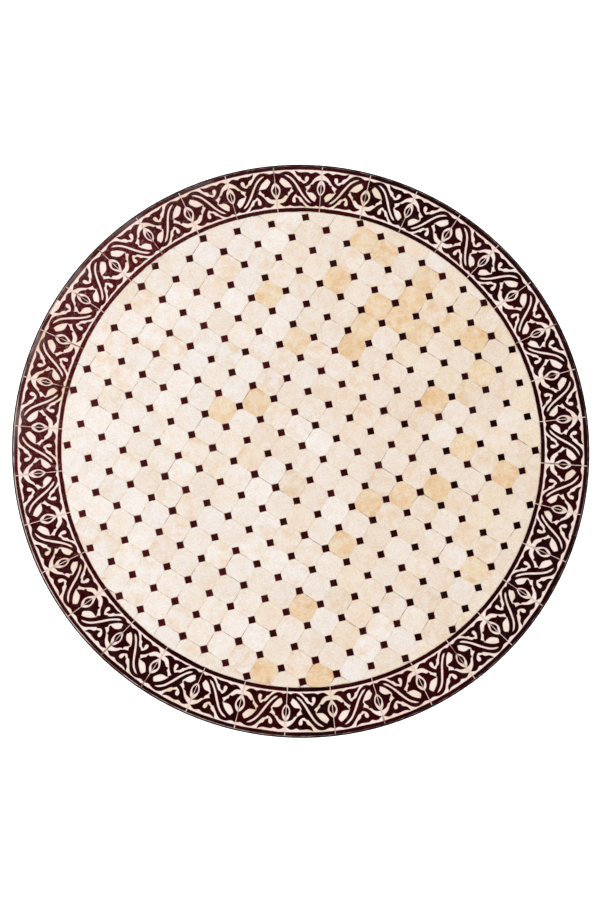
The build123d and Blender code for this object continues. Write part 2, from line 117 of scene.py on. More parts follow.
def make_camera():
    """A camera nearly above the table, with north at the top of its view."""
    data = bpy.data.cameras.new("camera")
    data.sensor_width = SENSOR
    data.lens = SENSOR * RADIUS_IN_VIEW / VIEW_HEIGHT * CAMERA_DISTANCE / TABLE_RADIUS
    side, tilt = math.radians(CAMERA_SIDE), math.radians(CAMERA_TILT)
    lean = math.sin(tilt)
    back = Vector((lean * math.cos(side), lean * math.sin(side), math.cos(tilt)))
    right = Vector((0, 1, 0)).cross(back).normalized()
    up = back.cross(right)
    turn = Matrix((right, up, back)).transposed().to_quaternion()
    where = Vector((*CAMERA_AIM, TABLE_TOP)) + back * CAMERA_DISTANCE
    scene.camera = add_object("camera", data, where, turn)


make_camera()


# ======== colours and materials ========


def colour(code):
    """A linear colour from a six-figure hexadecimal code."""
    parts = [int(code[k : k + 2], 16) / 255 for k in (0, 2, 4)]
    linear = [p / 12.92 if p <= 0.04045 else ((p + 0.055) / 1.055) ** 2.4 for p in parts]
    return (*linear, 1.0)


def between(first, second, share):
    """The colour that lies a share of the way from the first to the second."""
    return tuple(Vector(first).lerp(Vector(second), share))


def scaled(tint, factor):
    """A colour made lighter or darker."""
    return (tint[0] * factor, tint[1] * factor, tint[2] * factor, 1.0)


BATCH_STEP = (3.1, 1.7, 0.9)  # metres of texture offset for a batch number of 1
RANGE_SOCKETS = ("From Min", "From Max", "To Min", "To Max")


class Look:
    """A procedural material that is built up node by node."""

    def __init__(self, name, roughness=0.5, metallic=0.0, **sockets):
        self.material = bpy.data.materials.new(name)
        self.material.use_nodes = True
        self.nodes = self.material.node_tree.nodes
        self.links = self.material.node_tree.links
        self.shader = self.nodes["Principled BSDF"]
        sockets |= {"Roughness": roughness, "Metallic": metallic}
        for name, value in sockets.items():
            self.shader.inputs[name.replace("_", " ")].default_value = value
        self.where = self.add("TexCoord").outputs["Object"]

    def feed(self, socket, value):
        """Give a socket a constant or another node's output."""
        if isinstance(value, (int, float, tuple)):
            socket.default_value = value
        else:
            self.links.new(value, socket)

    def add(self, kind, **inputs):
        """Add a node whose inputs are constants or other nodes' outputs."""
        node = self.nodes.new(f"ShaderNode{kind}")
        for name, value in inputs.items():
            self.feed(node.inputs[name], value)
        return node

    def tile_by_tile(self):
        """Move the textures by each tile's own offset, so that no pattern runs across a joint."""
        shift = self.add("VectorMath")
        shift.operation = "MULTIPLY_ADD"
        values = (self.attribute("batch", "Vector"), BATCH_STEP, self.where)
        for socket, value in zip(shift.inputs, values):
            self.feed(socket, value)
        self.where = shift.outputs["Vector"]

    def noise(self, size, detail=3.0, roughness=0.55, distortion=0.0, stretch=None):
        """Noise between 0 and 1 whose features are about the given size."""
        where = self.where
        if stretch:
            where = self.add("Mapping", Scale=stretch, Vector=where).outputs["Vector"]
        node = self.add("TexNoise", Scale=1 / size, Detail=detail, Roughness=roughness)
        self.feed(node.inputs["Distortion"], distortion)
        self.feed(node.inputs["Vector"], where)
        return node.outputs["Fac"]

    def cells(self, size, feature="F1"):
        """Distance from the nearest of scattered points about the given size apart."""
        node = self.add("TexVoronoi", Scale=1 / size, Vector=self.where)
        node.feature = feature
        return node.outputs["Distance"]

    def ramp(self, value, low, high, at_low=0.0, at_high=1.0):
        """Map a value from low..high to at_low..at_high, held at both ends."""
        limits = dict(zip(RANGE_SOCKETS, (low, high, at_low, at_high)))
        node = self.add("MapRange", Value=value, **limits)
        node.interpolation_type = "SMOOTHSTEP"
        return node.outputs["Result"]

    def patches(self, size, low, high, at_low=0.0, at_high=1.0, **settings):
        """Noise of the given size, mapped like a ramp."""
        return self.ramp(self.noise(size, **settings), low, high, at_low, at_high)

    def spots(self, size, inner, outer):
        """Scattered round spots: 1 within the inner distance and 0 beyond the outer."""
        return self.ramp(self.cells(size), inner, outer, 1.0, 0.0)

    def combine(self, operation, first, second):
        """Combine two values; each is a number or an output."""
        node = self.add("Math")
        node.operation = operation
        for socket, value in zip(node.inputs, (first, second)):
            self.feed(socket, value)
        return node.outputs["Value"]

    def product(self, first, second):
        return self.combine("MULTIPLY", first, second)

    def mix(self, factor, first, second, blend="MIX"):
        """Mix two colours; each is a colour or an output."""
        node = self.add("Mix")
        node.data_type = "RGBA"
        node.blend_type = blend
        for index, value in ((0, factor), (6, first), (7, second)):
            self.feed(node.inputs[index], value)
        return node.outputs[2]

    def lay(self, base, mask, share, code, blend="MIX"):
        """Lay a colour over the base where the mask is, at a share of full strength."""
        return self.mix(self.product(mask, share), base, colour(code), blend)

    def attribute(self, name, output="Fac"):
        node = self.add("Attribute")
        node.attribute_name = name
        return node.outputs[output]

    def colour_from(self, output):
        self.feed(self.shader.inputs["Base Color"], output)

    def roughness_from(self, output):
        self.feed(self.shader.inputs["Roughness"], output)

    def bump(self, height, depth, strength):
        """Add a bump of the given depth on top of any bump made before."""
        node = self.add("Bump", Height=height, Distance=depth, Strength=strength)
        target = self.shader.inputs["Normal"]
        if target.is_linked:
            self.feed(node.inputs["Normal"], target.links[0].from_socket)
        self.feed(target, node.outputs["Normal"])

    def grain(self, size, depth, strength, **settings):
        """Add a bump of noise of the given size."""
        self.bump(self.noise(size, **settings), depth, strength)


def cream_glaze():
    """Warm white glaze that varies from tile to tile, with cloudy patches and pinholes."""
    look = Look("cream_glaze_look", roughness=0.35, Specular_IOR_Level=0.35)
    look.tile_by_tile()
    tint, age = look.attribute("tint", "Color"), look.attribute("age")
    clouds = look.patches(26 * MM, 0.36, 0.72, detail=5, roughness=0.65, distortion=0.3)
    warm = look.lay(tint, clouds, age, "F5DCB8", "MULTIPLY")
    milky = look.patches(18 * MM, 0.48, 0.72, detail=5, roughness=0.65)
    pale = look.lay(warm, milky, 0.5, "F2ECE7")
    fine = look.patches(4 * MM, 0.4, 0.66, detail=4, roughness=0.7)
    toned = look.lay(pale, fine, 0.26, "E0CCB4", "MULTIPLY")
    dust = look.patches(2.2 * MM, 0.45, 0.7, detail=2, roughness=0.6)
    grained = look.lay(toned, dust, 0.5, "E3E0DC", "MULTIPLY")
    pores = look.spots(11 * MM, 0.02, 0.07)
    gate = look.patches(30 * MM, 0.54, 0.64, detail=2)
    speckled = look.lay(grained, look.product(pores, gate), 0.7, "8C7256")
    look.colour_from(look.lay(speckled, look.attribute("grime"), 0.45, "CFA873", "MULTIPLY"))
    look.roughness_from(look.patches(22 * MM, 0.35, 0.7, 0.26, 0.45, detail=3))
    look.grain(7 * MM, 0.25 * MM, 0.3, detail=2, roughness=0.4)
    look.bump(pores, 0.25 * MM, -0.5)
    return look.material


def dark_glaze():
    """Thick burgundy glaze, nearly black where it is thick and redder where it runs thin, with a
    painted sheen of pale flecks and pink streaks on the border's north-west.
    """
    gloss = {"Specular_IOR_Level": 0.25, "Coat_Weight": 0.8, "Coat_Roughness": 0.05}
    look = Look("dark_glaze_look", roughness=0.3, **gloss)
    pools = look.patches(14 * MM, 0.45, 0.75, detail=4, roughness=0.6, distortion=0.4)
    body = look.lay(colour("140001"), pools, 0.6, "3A0305")
    toned = look.mix(0.6, body, look.attribute("tint", "Color"))
    thin = look.lay(toned, look.attribute("thin"), 0.6, "520C0E")
    # Pale flecks are glaze flaws where the random patches are, and a painted sheen where the
    # per-vertex sheen weight is set on the border's north-west; the pink streaks are painted sheen
    # only.
    flecks = look.spots(5 * MM, 0.04, 0.13)
    patch = look.patches(40 * MM, 0.58, 0.68, detail=2)
    wear = look.attribute("wear")
    flecks_and_glints = look.lay(thin, look.product(look.combine("ADD", wear, patch), flecks), 0.7, "D0A99C")
    sheen_streaks = look.patches(8 * MM, 0.54, 0.7, detail=5, roughness=0.75, distortion=0.6)
    look.colour_from(look.lay(flecks_and_glints, look.product(sheen_streaks, wear), 0.42, "C98F90"))
    look.roughness_from(look.patches(25 * MM, 0.4, 0.7, 0.2, 0.36, detail=3))
    look.grain(9 * MM, 0.15 * MM, 0.4, detail=2, roughness=0.4)
    look.grain(1.5 * MM, 0.04 * MM, 0.5, detail=2)
    return look.material


def carved_clay():
    """Bare fired clay, scraped clean of glaze, pink beside the glaze and creamier away from it."""
    look = Look("carved_clay_look", roughness=0.78, Specular_IOR_Level=0.25)
    ground = look.mix(look.attribute("stain"), colour("F1E3DA"), colour("FCE2E1"))
    clouds = look.patches(12 * MM, 0.45, 0.75, detail=5, roughness=0.6)
    clouded = look.lay(ground, clouds, 0.2, "E7D0B0", "MULTIPLY")
    tanned = look.patches(70 * MM, 0.54, 0.68, detail=3)
    toned = look.lay(clouded, tanned, 0.9, "F2EFD8", "MULTIPLY")
    tile = look.mix(0.6, toned, look.attribute("tint", "Color"), "MULTIPLY")
    specks = look.spots(4 * MM, 0.04, 0.12)
    gate = look.patches(18 * MM, 0.52, 0.64, detail=2)
    look.colour_from(look.lay(tile, look.product(specks, gate), 0.45, "8A5A4C"))
    look.grain(1.6 * MM, 0.25 * MM, 0.6, detail=4, roughness=0.7)
    look.grain(6 * MM, 0.3 * MM, 0.4, detail=2)
    return look.material


def mortar():
    """Pale lime mortar with sand in it."""
    look = Look("mortar_look", roughness=0.92, Specular_IOR_Level=0.15)
    sand = look.patches(1.2 * MM, 0.35, 0.7, detail=3, roughness=0.8)
    field = look.mix(sand, colour("DCCBB0"), colour("F3E9DA"))
    base = look.mix(look.attribute("border"), field, colour("F2DACF"))
    patches = look.patches(55 * MM, 0.52, 0.64, detail=4)
    toned = look.lay(base, patches, 0.9, "8A6A4E", "MULTIPLY")
    gaps = look.patches(22 * MM, 0.4, 0.6, 1.0, 0.55, detail=4)
    look.colour_from(look.lay(toned, look.attribute("rust"), gaps, "1C1010"))
    look.grain(1.2 * MM, 0.3 * MM, 0.8, detail=3, roughness=0.8)
    return look.material


def cast_cement():
    """Cement that was poured and floated by hand, with air holes and trowel marks."""
    look = Look("cast_cement_look", roughness=0.9, Specular_IOR_Level=0.2)
    blotches = look.patches(90 * MM, 0.35, 0.7, detail=6, roughness=0.6)
    base = look.mix(blotches, colour("A39C90"), colour("C2BAAC"))
    grit = look.patches(2.2 * MM, 0.4, 0.75, detail=4, roughness=0.75)
    sandy = look.lay(base, grit, 0.4, "8E867A")
    holes = look.spots(16 * MM, 0.06, 0.13)
    look.colour_from(look.lay(sandy, holes, 0.6, "6A635A"))
    look.grain(45 * MM, 2.0 * MM, 0.35, detail=3, distortion=1.2, stretch=(1.0, 2.5, 1.0))
    look.grain(2.2 * MM, 0.5 * MM, 0.6, detail=4, roughness=0.75)
    look.bump(holes, 1.2 * MM, -0.7)
    return look.material


def forged_iron(name, dark, light, rust="5B3A28", rubbed="6E6A66", metallic=0.5, gloss=0.5):
    """Hammered iron under worn black wax, with rust in the hollows and edges rubbed bright."""
    look = Look(name, roughness=0.5, metallic=metallic, Specular_IOR_Level=gloss)
    scale = look.patches(35 * MM, 0.35, 0.7, detail=5, roughness=0.6)
    base = look.mix(scale, colour(dark), colour(light))
    brown = look.patches(28 * MM, 0.56, 0.74, detail=6, roughness=0.7, distortion=0.5)
    rusty = look.lay(base, brown, 0.45, rust)
    rub = look.patches(4 * MM, 0.6, 0.78, detail=3, roughness=0.7)
    waxed = look.lay(rusty, rub, 0.35, rubbed)
    ridges = look.ramp(look.add("NewGeometry").outputs["Pointiness"], 0.505, 0.56)
    weight = look.product(ridges, look.patches(16 * MM, 0.4, 0.62, detail=4))
    look.colour_from(look.lay(waxed, weight, 0.6, rubbed))
    look.roughness_from(look.patches(9 * MM, 0.35, 0.7, 0.34, 0.62, detail=4))
    look.bump(look.cells(11 * MM, "SMOOTH_F1"), 0.9 * MM, 0.45)
    look.grain(1.8 * MM, 0.12 * MM, 0.6, detail=3, roughness=0.7)
    return look.material


def turned_steel():
    """Zinc-plated steel with fine turning marks."""
    look = Look("turned_steel_look", roughness=0.3, metallic=1.0)
    patches = look.patches(9 * MM, 0.35, 0.7, detail=4)
    look.colour_from(look.mix(patches, colour("A9A79F"), colour("C9C8C2")))
    look.roughness_from(look.patches(3 * MM, 0.35, 0.7, 0.24, 0.42, detail=3))
    look.grain(0.8 * MM, 0.06 * MM, 0.7, detail=1, stretch=(0.1, 0.1, 1.6))
    return look.material


def worn_brass():
    """Brass washers, dulled."""
    look = Look("worn_brass_look", roughness=0.35, metallic=1.0)
    tarnish = look.patches(6 * MM, 0.4, 0.7, detail=5, roughness=0.65)
    look.colour_from(look.mix(tarnish, colour("C59B4E"), colour("7E5D2C")))
    look.roughness_from(look.patches(3 * MM, 0.35, 0.7, 0.28, 0.5, detail=3))
    look.grain(1.0 * MM, 0.04 * MM, 0.6, detail=2)
    return look.material


def soft_black(name, dark, light, roughness, grain):
    """Moulded rubber or plastic with a fine grain."""
    look = Look(name, roughness=roughness, Specular_IOR_Level=0.35)
    dust = look.patches(12 * MM, 0.4, 0.75, detail=5, roughness=0.65)
    look.colour_from(look.mix(dust, colour(dark), colour(light)))
    look.grain(grain, 0.1 * MM, 0.6, detail=2, roughness=0.6)
    return look.material


MATERIALS = {
    "cream": cream_glaze(),
    "dark": dark_glaze(),
    "clay": carved_clay(),
    "mortar": mortar(),
    "cement": cast_cement(),
    "iron": forged_iron("forged_iron_look", "121112", "242222"),
    "hoop": forged_iron("hoop_iron_look", "0A0707", "160F0F", "34201A", "2A2222", 0.0, 0.12),
    "bare": forged_iron("bare_iron_look", "3A3532", "57504A", "6A4028"),
    "steel": turned_steel(),
    "brass": worn_brass(),
    "rubber": soft_black("rubber_look", "111111", "242322", 0.75, 0.7 * MM),
    "plastic": soft_black("glide_look", "161616", "232323", 0.45, 0.4 * MM),
}


# ======== mesh helpers ========


class Shape:
    """A mesh under construction, with one colour and several numbers for each vertex."""

    def __init__(self, *numbers):
        self.points = []
        self.faces = []
        self.flat = set()
        self.tints = []
        self.numbers = {name: [] for name in numbers}

    def add_point(self, point, tint=(1, 1, 1, 1), **values):
        self.points.append(tuple(point))
        self.tints.append(tint)
        for name, column in self.numbers.items():
            column.append(values.get(name, 0.0))
        return len(self.points) - 1

    def add_ring(self, ring, *tint, **values):
        return [self.add_point(point, *tint, **values) for point in ring]

    def add_flat(self, corners):
        """A face that is shaded flat."""
        self.flat.add(len(self.faces))
        self.faces.append(tuple(corners))

    def tube(self, rings):
        """Quads from each closed ring to the next; all have the same length."""
        for lower, upper in zip(rings, rings[1:]):
            for k in range(len(lower)):
                after = (k + 1) % len(lower)
                self.faces.append((lower[k], lower[after], upper[after], upper[k]))

    def fan(self, ring, centre):
        """Triangles from a closed ring to a point inside it."""
        for k, corner in enumerate(ring):
            self.faces.append((corner, ring[(k + 1) % len(ring)], centre))

    def build(self, name, material):
        mesh = bpy.data.meshes.new(name)
        mesh.from_pydata(self.points, [], self.faces)
        mesh.materials.append(material)
        tint = mesh.attributes.new("tint", "FLOAT_COLOR", "POINT")
        tint.data.foreach_set("color", [part for value in self.tints for part in value])
        for label, column in self.numbers.items():
            layer = mesh.attributes.new(label, "FLOAT", "POINT")
            layer.data.foreach_set("value", column)
        smooth = [k not in self.flat for k in range(len(self.faces))]
        mesh.polygons.foreach_set("use_smooth", smooth)
        mesh.validate()
        mesh.update()
        piece = bpy.data.objects.new(name, mesh)
        scene.collection.objects.link(piece)
        return piece


def place(piece, body, slot, *nodes):
    """Attach a piece to the body it rides on and hide the nodes it stands for; slot is not used."""
    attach(piece, body)
    if nodes:
        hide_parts(*nodes)


# ======== the field ========

# The octagons that are clearly honey-coloured, the deepest first, by lattice cell.
HONEY_CELLS = [
    (5, -8), (7, 3), (-1, 4), (3, 7), (3, 4), (3, -9), (3, -6), (4, 0), (3, -1), (-3, 6), (0, 7),
    (-1, 6), (5, 1), (-3, 0), (0, 6), (3, -3), (-2, 8), (0, 8), (-3, 3), (-3, 8), (1, 6), (-4, -1),
    (-1, 5), (5, 3), (8, -1), (-5, 4), (2, 7), (4, 6),
]
# And the ones that are clearly white.
WHITE_CELLS = [
    (-4, -8), (-6, -5), (-9, -2), (-8, 1), (-6, -7), (-4, -4), (-1, -3), (-6, -2), (-6, -1), (1, -5),
    (0, -5), (2, -8), (-6, 3), (-8, -4), (2, -2), (6, -5),
]
WHITE_GLAZE = colour("F4EEEA")
CREAM_GLAZE = colour("F0E2D4")
HONEY_GLAZE = colour("EFDEC4")
HONEY_AGE = 0.85  # how far the clouds stain a honey tile
DEEP_HONEY_GLAZE = colour("ECD1AE")


def lattice_point(i, j):
    """Where lattice corner (i, j) lies once the hand-laid rows have bowed."""
    turn = math.radians(LATTICE_ANGLE)
    x = PITCH * (i * math.cos(turn) - j * math.sin(turn))
    y = PITCH * (i * math.sin(turn) + j * math.cos(turn))
    across, along = x / FIELD_RADIUS, y / FIELD_RADIUS
    bow = ROW_BOW * along * (across + along), -ROW_BOW * across * (across + along / 2)
    return Vector((x + bow[0], y + bow[1]))


def lattice_cells():
    """The lattice cells that reach into the field."""
    span = int(FIELD_RADIUS / PITCH) + 2
    for i in range(-span, span + 1):
        for j in range(-span, span + 1):
            if lattice_point(i, j).length < FIELD_RADIUS + 1.5 * PITCH:
                yield i, j


SQUARE_REACH = SQUARE_SIDE / math.sqrt(2)  # from a square's middle to its corner


def octagon_corners(i, j):
    """Cell (i, j) with its corners cut off by the four squares round it."""
    ring = [lattice_point(i + a, j + b) for a, b in ((0, 0), (1, 0), (1, 1), (0, 1))]
    corners = []
    for index, corner in enumerate(ring):
        before, after = ring[index - 1], ring[(index + 1) % 4]
        corners.append(corner + (before - corner).normalized() * SQUARE_REACH)
        corners.append(corner + (after - corner).normalized() * SQUARE_REACH)
    return corners


def square_corners(i, j):
    """The square on lattice corner (i, j), which points along the lattice's lines."""
    here = lattice_point(i, j)
    around = [lattice_point(i + a, j + b) for a, b in ((1, 0), (0, 1), (-1, 0), (0, -1))]
    return [here + (other - here).normalized() * SQUARE_REACH for other in around]


ARC_STEP = 7 * MM  # between the points of a side that follows the circle
HALVINGS = 30  # of a side, to find where it crosses the circle


def inside_circle(outline, radius):
    """The part of a closed outline inside a circle; the cut follows the circle."""
    kept = []
    for k, start in enumerate(outline):
        end = outline[(k + 1) % len(outline)]
        inside = start.length <= radius
        if inside:
            kept.append((start, False))
        if inside != (end.length <= radius):
            low, high = 0.0, 1.0
            for _ in range(HALVINGS):
                middle = (low + high) / 2
                same_side = (start.lerp(end, middle).length <= radius) == inside
                low, high = (middle, high) if same_side else (low, middle)
            kept.append((start.lerp(end, low), True))
    cut = []
    for k, (point, on_circle) in enumerate(kept):
        cut.append(point)
        following, also = kept[(k + 1) % len(kept)]
        if on_circle and also:
            first, last = math.atan2(point.y, point.x), math.atan2(following.y, following.x)
            sweep = (last - first + math.pi) % math.tau - math.pi
            steps = max(1, int(abs(sweep) * radius / ARC_STEP))
            for n in range(1, steps):
                turn = first + sweep * n / steps
                cut.append(Vector((math.cos(turn), math.sin(turn))) * radius)
    return cut


def signed_area(outline):
    """Positive where the outline runs anticlockwise."""
    return sum(a.x * b.y - b.x * a.y for a, b in zip(outline, outline[1:] + outline[:1])) / 2


def anticlockwise(outline):
    return outline if signed_area(outline) > 0 else outline[::-1]


def hand_cut(outline, rng, step, waver):
    """Split each side into short steps that waver, as a chisel leaves it."""
    cut = []
    for k, start in enumerate(outline):
        end = outline[(k + 1) % len(outline)]
        side = end - start
        normal = Vector((-side.y, side.x)).normalized()
        steps = max(1, round(side.length / step))
        for n in range(steps):
            cut.append(start + side * (n / steps) + normal * rng.uniform(-waver, waver))
    return cut


SAME_POINT = 1e-7


def drawn_in(outline, distance):
    """The outline moved inward along its corners' bisectors; it runs anticlockwise."""
    ring = []
    count = len(outline)
    for k, here in enumerate(outline):
        back, ahead = here - outline[k - 1], outline[(k + 1) % count] - here
        if min(back.length, ahead.length) < SAME_POINT:
            ring.append(here.copy())
            continue
        first = Vector((-back.y, back.x)).normalized()
        second = Vector((-ahead.y, ahead.x)).normalized()
        bisector = first + second
        if bisector.length < 0.2:
            bisector = first
        bisector.normalize()
        ring.append(here + bisector * distance / max(0.45, bisector.dot(first)))
    return ring


CHIPPED = 0.045  # share of an edge's points that are chipped
DISH = 0.04 * MM  # how far a tile's middle lies under its face
# The rings of a tile's edge from its side to its face: how far each is drawn in, how far it drops
# and how much further at a chip, in parts of the edge's width, then its grime and its thinness.
TILE_EDGE = (
    (0, 0.9, 0.8, 1, 1),
    (0.35, 0.25, 0.9, 0.8, 0.7),
    (1, 0, 0.35, 0.4, 0.2),
    (3.2, 0, 0, 0, 0),
)


def middle_of(outline):
    return sum(outline, Vector((0, 0))) / len(outline)


def add_tile(shape, outline, top, tint, rng, edge, tilt, **marks):
    """One tile: sides, a rounded edge with small chips, and a face that is a little uneven."""
    middle = middle_of(outline)
    lean = Vector((rng.uniform(-tilt, tilt), rng.uniform(-tilt, tilt)))
    chips = [rng.random() < CHIPPED for _ in outline]
    clouds = [noise.noise(Vector((p.x, p.y, rng.random())) * 30) for p in outline]
    dirt = [min(1.0, max(0.0, 0.35 + 1.4 * cloud)) for cloud in clouds]
    foot = [
        shape.add_point((p.x, p.y, TILE_BED), tint, grime=amount, thin=1, **marks)
        for p, amount in zip(outline, dirt)
    ]
    rings = [foot]
    for inset, drop, chip_drop, grime, thin in TILE_EDGE:
        ring = []
        for p, chip, amount in zip(drawn_in(outline, inset * edge), chips, dirt):
            depth = (drop + (chip_drop if chip else 0)) * edge
            point = (p.x, p.y, top - depth + lean.dot(p - middle))
            ring.append(shape.add_point(point, tint, grime=grime * amount, thin=thin, **marks))
        rings.append(ring)
    shape.tube(rings)
    shape.fan(rings[-1], shape.add_point((middle.x, middle.y, top - DISH), tint, **marks))


WARMTH = 0.34  # of a tile in the middle: 0 is white and 1 is nearest to honey
WARMTH_DRIFT = 0.42  # added at the east edge and taken off at the west
WARMTH_SPREAD = 0.22
HONEY_FROM = 0.6  # the warmth above which cream turns to honey


def octagon_tint(i, j, middle, rng):
    """White to the west, warmer to the east, and honey or white where it was laid."""
    if (i, j) in HONEY_CELLS:
        depth = 1 - HONEY_CELLS.index((i, j)) / len(HONEY_CELLS)
        return scaled(between(HONEY_GLAZE, DEEP_HONEY_GLAZE, depth), rng.uniform(0.98, 1.02))
    if (i, j) in WHITE_CELLS:
        return scaled(WHITE_GLAZE, 1.01)
    warmth = WARMTH + WARMTH_DRIFT * middle.x / FIELD_RADIUS + rng.gauss(0, WARMTH_SPREAD)
    warmth = min(1.0, max(0.0, warmth))
    base = between(WHITE_GLAZE, CREAM_GLAZE, min(1.0, 1.6 * warmth))
    if warmth > HONEY_FROM:
        base = between(base, HONEY_GLAZE, (warmth - HONEY_FROM) * 1.3)
    return scaled(base, rng.uniform(0.965, 1.015))


def field_tiles(corners_of):
    """Each cell and its tile's outline, within its joints and the field's edge."""
    for i, j in lattice_cells():
        outline = drawn_in(corners_of(i, j), FIELD_JOINT / 2)
        outline = inside_circle(outline, FIELD_RADIUS - FIELD_JOINT / 2)
        if len(outline) > 2 and abs(signed_area(outline)) >= SMALLEST_TILE:
            yield i, j, outline


def make_octagons():
    shape = Shape("grime", "batch", "age")
    rng = random.Random(7)
    for i, j, outline in field_tiles(octagon_corners):
        outline = hand_cut(outline, rng, step=8 * MM, waver=0.2 * MM)
        top = TABLE_TOP - rng.uniform(0.0, 0.12) * MM
        tint = octagon_tint(i, j, middle_of(outline), rng)
        age = 0.25 + 0.6 * rng.random() ** 2
        if (i, j) in HONEY_CELLS:
            age = HONEY_AGE
        marks = {"batch": rng.random(), "age": age}
        add_tile(shape, outline, top, tint, rng, edge=0.6 * MM, tilt=0.0035, **marks)
    piece = shape.build("octagon_field", MATERIALS["cream"])
    place(piece, "top", "cream_glaze", "octagon_tiles")


def make_cabochons():
    shape = Shape("thin")
    rng = random.Random(11)
    for i, j, outline in field_tiles(square_corners):
        outline = hand_cut(outline, rng, step=4.5 * MM, waver=0.22 * MM)
        west = 0.5 - 0.5 * lattice_point(i, j).x / FIELD_RADIUS
        redness = min(1.0, 0.8 * west**1.5 + 0.4 * rng.random() ** 3)
        tint = between(colour("100001"), colour("5E1C20"), redness)
        top = TABLE_TOP - rng.uniform(0.0, 0.15) * MM
        add_tile(shape, outline, top, tint, rng, edge=0.45 * MM, tilt=0.004)
    piece = shape.build("cabochon_field", MATERIALS["dark"])
    place(piece, "top", "dark_glaze", "cabochon_tiles")


# ======== the border ========

# One border tile, seen with its first joint on the left and the rim up. A point is (share of the
# tile's width, millimetres outside a radius of 500); a third value marks a sharp corner.
SHARP = True
VINE = [
    (0, 10.5, SHARP), (0.04, 11), (0.08, 12.5), (0.11, 11.5), (0.15, 10), (0.21, 9.7), (0.26, 11.5),
    (0.31, 14.5), (0.36, 19), (0.4, 24), (0.44, 29), (0.475, 31.5, SHARP), (0.51, 31.7), (0.53, 34),
    (0.56, 36), (0.585, 35.2), (0.62, 31), (0.645, 26.5), (0.655, 22), (0.64, 17.5), (0.6, 16),
    (0.565, 17), (0.55, 20.5), (0.555, 24), (0.562, 27.5, SHARP), (0.53, 27), (0.505, 25),
    (0.485, 22.5), (0.475, 19.5), (0.455, 17.5), (0.42, 16.5), (0.39, 13.5), (0.35, 9, SHARP),
    (0.42, 10.5), (0.48, 10.5), (0.55, 10), (0.62, 10.3), (0.66, 11.5), (0.71, 13, SHARP), (0.76, 11),
    (0.82, 10.3), (0.87, 12), (0.925, 16, SHARP), (0.88, 16.5), (0.84, 17.5), (0.79, 21), (0.75, 26),
    (0.71, 31.5), (0.66, 37), (0.61, 40.5), (0.59, 42, SHARP), (0.61, 45), (0.63, 47.5), (0.62, 50),
    (0.65, 55), (0.7, 62), (0.76, 67.5), (0.81, 71), (0.86, 73.3, SHARP), (0.875, 70.5), (0.905, 67),
    (0.91, 63, SHARP), (0.89, 60), (0.86, 56), (0.82, 52), (0.78, 49.8), (0.72, 49.3),
    (0.66, 49.5, SHARP), (0.68, 46), (0.71, 42), (0.74, 40), (0.745, 36), (0.75, 33.5, SHARP),
    (0.8, 34), (0.83, 31.5), (0.86, 29), (0.9, 27), (0.965, 26.5, SHARP), (0.93, 32), (0.9, 38),
    (0.885, 45), (0.895, 51), (0.92, 56), (0.96, 60.5), (1, 63, SHARP), (1, 82, SHARP), (0.96, 81.5),
    (0.92, 80.3), (0.88, 80.8), (0.82, 83.3), (0.75, 84.3), (0.68, 83), (0.62, 79), (0.57, 73),
    (0.52, 67), (0.475, 62, SHARP), (0.455, 62.5), (0.43, 61), (0.39, 57.2, SHARP), (0.34, 58.5),
    (0.3, 61.5), (0.27, 65.5), (0.26, 70), (0.275, 74), (0.31, 75), (0.335, 74.5), (0.355, 72),
    (0.365, 68), (0.362, 64.5, SHARP), (0.395, 66), (0.42, 67.5), (0.43, 71), (0.46, 74), (0.51, 76.5),
    (0.54, 80.5), (0.555, 85, SHARP), (0.5, 82.3), (0.44, 81.3), (0.36, 82), (0.29, 82),
    (0.235, 79, SHARP), (0.2, 80), (0.15, 82.3), (0.1, 82), (0.04, 78.5, SHARP), (0.1, 75), (0.15, 71),
    (0.19, 66), (0.23, 60), (0.28, 55.5), (0.33, 53), (0.37, 51.8, SHARP), (0.34, 48.5), (0.325, 45),
    (0.345, 42), (0.335, 39), (0.31, 35), (0.27, 29.5), (0.22, 24), (0.17, 20.5), (0.13, 18.8, SHARP),
    (0.11, 20), (0.095, 24.5), (0.075, 28, SHARP), (0.1, 32.5), (0.13, 36), (0.17, 39), (0.22, 40.3),
    (0.27, 40.3), (0.295, 41.5, SHARP), (0.27, 45.5), (0.235, 49), (0.22, 52.5), (0.225, 55, SHARP),
    (0.2, 55.5), (0.165, 57.5), (0.145, 60.5), (0.11, 63.5), (0.07, 65), (0.03, 66, SHARP),
    (0.06, 62.5), (0.085, 58), (0.097, 52), (0.1, 47), (0.09, 42), (0.07, 37.5), (0.035, 33),
    (0, 30.5, SHARP),
]
GROOVE = [
    (0.215, 16.5, SHARP), (0.25, 20.5), (0.3, 24.5), (0.36, 31), (0.42, 39.5), (0.48, 49.5),
    (0.54, 58.5), (0.6, 67), (0.67, 73.5), (0.73, 77), (0.785, 78, SHARP), (0.73, 74), (0.67, 69.5),
    (0.61, 63), (0.56, 55.5), (0.5, 45.5), (0.44, 36), (0.38, 28.5), (0.32, 22), (0.27, 18),
]
BUDS = [
    [(0, 38.5, SHARP), (0.03, 40.5), (0.05, 45), (0.05, 49), (0.03, 53.5), (0, 55.5, SHARP)],
    [(1, 53.5, SHARP), (0.965, 50), (0.94, 46), (0.945, 41.5), (0.97, 37.5), (1, 35.5, SHARP)],
]
